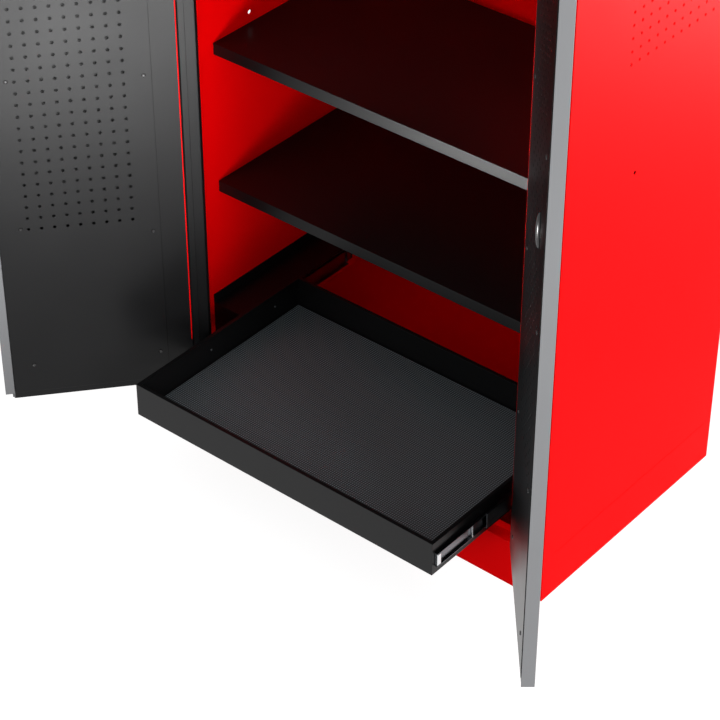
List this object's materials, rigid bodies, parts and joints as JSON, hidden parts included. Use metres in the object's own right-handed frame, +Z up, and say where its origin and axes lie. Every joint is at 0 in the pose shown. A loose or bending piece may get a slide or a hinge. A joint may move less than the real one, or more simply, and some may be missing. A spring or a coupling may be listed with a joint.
{
  "type": "garage floor cabinet",
  "caption": "Tall steel floor cabinet with hinged pegboard-lined double doors, fixed shelves, a pull-out tray on telescopic slides and a lever latch with rods",
  "frame": {"origin": "floor level, in the middle of the carcass footprint, on the foot of the base cross rail", "axes": "+Z up, doors and tray face -Y, +X towards the door with the lever"},
  "size_m": [1.3254, 0.9191, 1.981],
  "materials": {
    "body_red": "gloss powder coat",
    "black_sheet": "satin powder coat",
    "edge_grey": "satin",
    "zinc_steel": "zinc plated",
    "chrome": "polished",
    "mat_rubber": "matt, fine pattern",
    "handle_black": "satin"
  },
  "bodies": {
    "cabinet": {"side_panel_right": "body_red", "side_panel_left": "body_red", "back_panel": "body_red", "top_panel": "body_red", "floor_panel": "body_red", "plinth_front": "body_red", "plinth_rear": "body_red", "base_cross_rail": "body_red", "header_rail": "body_red", "threshold_rail": "body_red", "shelf_lower": "black_sheet", "shelf_upper": "black_sheet", "shelf_top": "black_sheet", "shelf_ledge_lower_right": "body_red", "shelf_ledge_lower_left": "body_red", "shelf_ledge_upper_right": "body_red", "shelf_ledge_upper_left": "body_red", "shelf_ledge_top_right": "body_red", "shelf_ledge_top_left": "body_red", "slide_carrier_right": "black_sheet", "slide_carrier_left": "black_sheet", "slide_cabinet_member_right": "zinc_steel", "slide_cabinet_member_left": "zinc_steel", "slide_stop_tab_right": "zinc_steel", "slide_stop_tab_left": "zinc_steel", "hinge_jamb_leaf_right": "black_sheet", "hinge_jamb_leaf_left": "black_sheet", "floor_strike": "zinc_steel"},
    "right_door": {"door_pan_right": "black_sheet", "door_lining_right": "black_sheet", "door_pegboard_right": "black_sheet", "hinge_door_leaf_right": "black_sheet", "door_edge_trim_right": "edge_grey", "handle_rose": "handle_black", "handle_back_cup": "handle_black", "rod_guide_upper": "black_sheet", "rod_guide_lower": "black_sheet"},
    "left_door": {"door_pan_left": "black_sheet", "door_lining_left": "black_sheet", "door_pegboard_left": "black_sheet", "hinge_door_leaf_left": "black_sheet", "door_edge_trim_left": "edge_grey"},
    "tray": {"tray_pan": "black_sheet", "tray_mat": "mat_rubber", "slide_tray_member_right": "zinc_steel", "slide_tray_member_left": "zinc_steel"},
    "slide_middle_right": {"slide_middle_member_right": "zinc_steel"},
    "slide_middle_left": {"slide_middle_member_left": "zinc_steel"},
    "handle": {"handle_lever": "handle_black", "latch_cam": "zinc_steel"},
    "rod_upper": {"latch_rod_upper": "zinc_steel"},
    "rod_lower": {"latch_rod_lower": "zinc_steel"},
    "lock": {"lock_cylinder": "chrome"}
  },
  "joints": [
    {"name": "right_door_hinge", "type": "hinge", "parent": "cabinet", "child": "right_door", "pos_m": [0.4068, -0.2904, 1.046], "axis": [0, 0, 1], "range_deg": [-35, 45]},
    {"name": "left_door_hinge", "type": "hinge", "parent": "cabinet", "child": "left_door", "pos_m": [-0.4068, -0.2904, 1.046], "axis": [0, 0, -1], "range_deg": [-35, 45]},
    {"name": "tray_slide", "type": "slide", "parent": "cabinet", "child": "tray", "axis": [0, -1, 0], "range_m": [-0.292, 0.05]},
    {"name": "middle_slide_right", "type": "slide", "parent": "cabinet", "child": "slide_middle_right", "axis": [0, -1, 0], "range_m": [-0.146, 0.025]},
    {"name": "middle_slide_left", "type": "slide", "parent": "cabinet", "child": "slide_middle_left", "axis": [0, -1, 0], "range_m": [-0.146, 0.025]},
    {"name": "handle_turn", "type": "hinge", "parent": "right_door", "child": "handle", "pos_m": [0.60426, -0.52573, 1.048], "axis": [-0.766, -0.6428, 0], "range_deg": [0, 90]},
    {"name": "rod_upper_slide", "type": "slide", "parent": "right_door", "child": "rod_upper", "axis": [0, 0, 1], "range_m": [0, 0.0245]},
    {"name": "rod_lower_slide", "type": "slide", "parent": "right_door", "child": "rod_lower", "axis": [0, 0, -1], "range_m": [0, 0.0245]},
    {"name": "lock_turn", "type": "hinge", "parent": "right_door", "child": "lock", "pos_m": [0.60426, -0.52573, 1.1], "axis": [-0.766, -0.6428, 0], "range_deg": [0, 90]}
  ],
  "couplings": [
    {"joint": "middle_slide_right", "follows": "tray_slide", "ratio": 0.5},
    {"joint": "middle_slide_left", "follows": "tray_slide", "ratio": 0.5},
    {"joint": "rod_upper_slide", "follows": "handle_turn", "m_per_rad": 0.0153},
    {"joint": "rod_lower_slide", "follows": "handle_turn", "m_per_rad": 0.0153}
  ]
}
